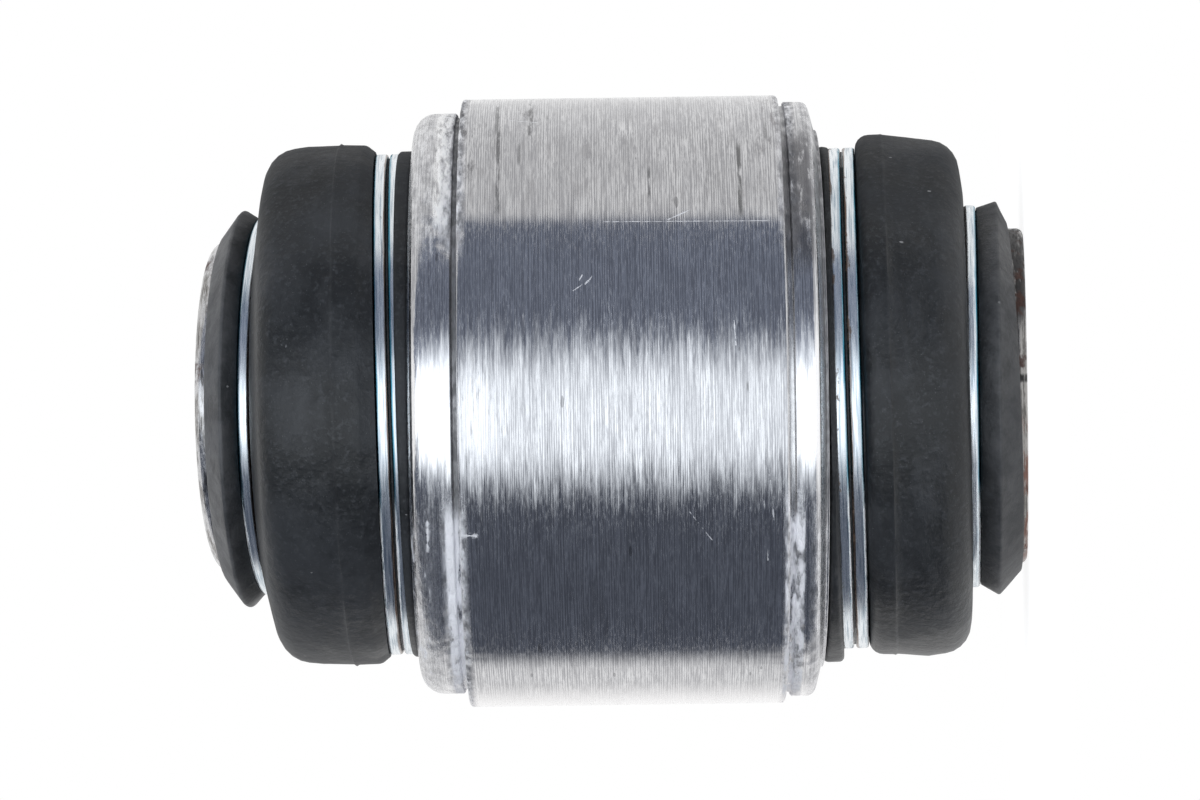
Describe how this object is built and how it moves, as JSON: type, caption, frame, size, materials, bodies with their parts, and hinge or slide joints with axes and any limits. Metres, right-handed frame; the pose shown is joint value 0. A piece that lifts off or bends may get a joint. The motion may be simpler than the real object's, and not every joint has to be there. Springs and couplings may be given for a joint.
{
  "type": "ball-sleeve joint bush",
  "caption": "Suspension bush: a bored ball sleeve turns and swivels in a plastic seat inside a turned steel housing, sealed by a rubber boot at each end.",
  "frame": {"origin": "centre of the ball, halfway along the sleeve's bore", "axes": "+Z along the sleeve's bore towards its upper end; the housing is swivelled about +X"},
  "size_m": [0.045, 0.0463, 0.06],
  "materials": {
    "sleeve_steel": "machined, scratched and lightly rusted at the rims",
    "housing_steel": "fine turned, worn at the shoulders",
    "ring_steel": "turned",
    "seat_plastic": "smooth, greased",
    "boot_rubber": "matte, dusty",
    "clamp_wire": "bright zinc plated"
  },
  "bodies": {
    "sleeve": {"ball_sleeve": "sleeve_steel"},
    "boot_necks": {"upper_neck_clamp": "clamp_wire", "lower_neck_clamp": "clamp_wire"},
    "housing": {"outer_housing": "housing_steel", "closing_ring": "ring_steel", "upper_ball_seat": "seat_plastic", "lower_ball_seat": "seat_plastic", "upper_boot": "boot_rubber", "lower_boot": "boot_rubber", "upper_housing_clamp": "clamp_wire", "lower_housing_clamp": "clamp_wire"}
  },
  "joints": [
    {"name": "turn", "type": "hinge", "parent": "sleeve", "child": "boot_necks", "pos_m": [0, 0, 0], "axis": [0, 0, 1], "continuous": true},
    {"name": "tilt", "type": "hinge", "parent": "boot_necks", "child": "housing", "pos_m": [0, 0, 0], "axis": [1, 0, 0], "range_deg": [-11.6, 4.4], "deforming": ["upper_boot", "lower_boot"]}
  ]
}
